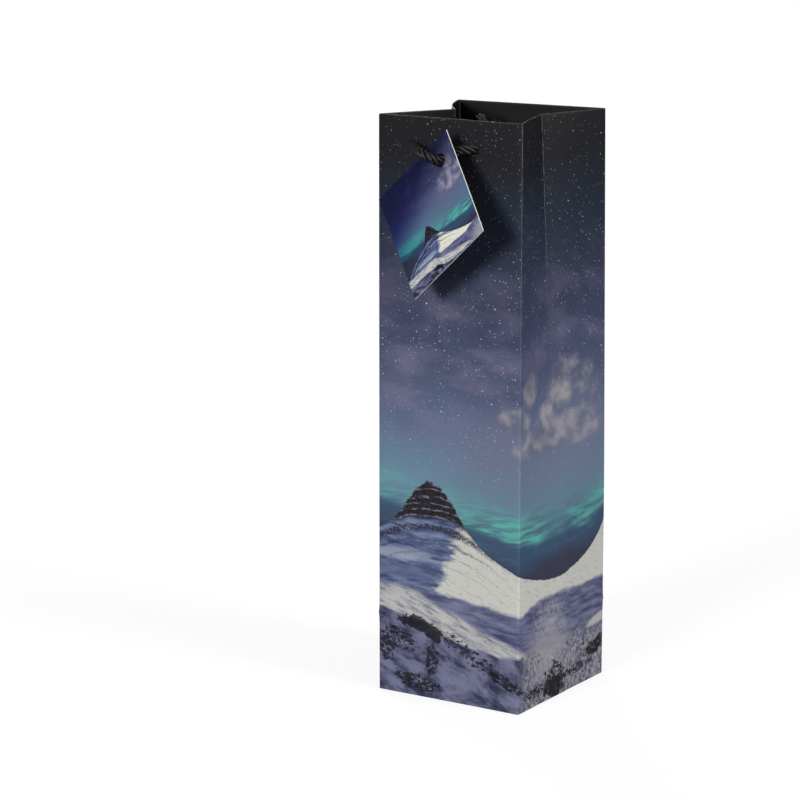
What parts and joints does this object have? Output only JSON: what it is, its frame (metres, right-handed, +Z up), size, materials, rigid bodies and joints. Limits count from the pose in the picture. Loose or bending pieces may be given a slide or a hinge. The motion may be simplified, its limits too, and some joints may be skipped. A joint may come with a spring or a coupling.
{
  "type": "paper wine gift bag",
  "caption": "Tall gusseted paper bag for a wine bottle, with a turned-in mouth, knotted twisted-rope handles, a loose base board and a square gift tag on the front rope.",
  "frame": {"origin": "middle of the base, on the surface that the bag stands on", "axes": "+X to the bag's right as seen from its front panel, +Y from the front panel to the back panel, +Z up towards the mouth"},
  "size_m": [0.098, 0.1447, 0.35],
  "materials": {
    "printed_paper": "matt laminated print",
    "reinforcement_card": "uncoated",
    "base_board": "uncoated",
    "rope": "twisted cord",
    "tag_card": "matt laminated print"
  },
  "bodies": {
    "bag": {"front_panel": "printed_paper", "right_gusset_front_half": "printed_paper", "right_gusset_back_half": "printed_paper", "back_panel": "printed_paper", "left_gusset_back_half": "printed_paper", "left_gusset_front_half": "printed_paper", "front_hem": "printed_paper", "back_hem": "printed_paper", "right_hem_front_half": "printed_paper", "right_hem_back_half": "printed_paper", "left_hem_back_half": "printed_paper", "left_hem_front_half": "printed_paper", "glue_flap": "printed_paper", "front_bottom_flap": "printed_paper", "back_bottom_flap": "printed_paper", "right_bottom_flap": "printed_paper", "left_bottom_flap": "printed_paper", "front_reinforcement_card": "reinforcement_card", "back_reinforcement_card": "reinforcement_card", "front_rope_left_end": "rope", "front_left_knot": "rope", "front_rope_right_end": "rope", "front_right_knot": "rope", "back_left_knot": "rope", "back_right_knot": "rope"},
    "base_board": {"base_board": "base_board"},
    "front_handle": {"front_rope_loop": "rope"},
    "gift_tag": {"gift_tag": "tag_card"},
    "back_handle": {"back_rope_loop": "rope"}
  },
  "joints": [
    {"name": "front_handle_swing", "type": "hinge", "parent": "bag", "child": "front_handle", "pos_m": [-0.0035, -0.0544, 0.3335], "axis": [-1, 0, 0], "range_deg": [0, 38]},
    {"name": "tag_swivel", "type": "hinge", "parent": "front_handle", "child": "gift_tag", "pos_m": [0.0028, -0.0649, 0.3275], "axis": [-0.3333, -0.9257, 0.1788], "range_deg": [0, 25]},
    {"name": "back_handle_swing", "type": "hinge", "parent": "bag", "child": "back_handle", "pos_m": [-0.00026, 0.04592, 0.33363], "axis": [0.9972, 0.0751, 0], "range_deg": [0, 145]},
    {"name": "base_board_lift", "type": "slide", "parent": "bag", "child": "base_board", "axis": [0, 0, 1], "range_m": [0, 0.11]}
  ]
}
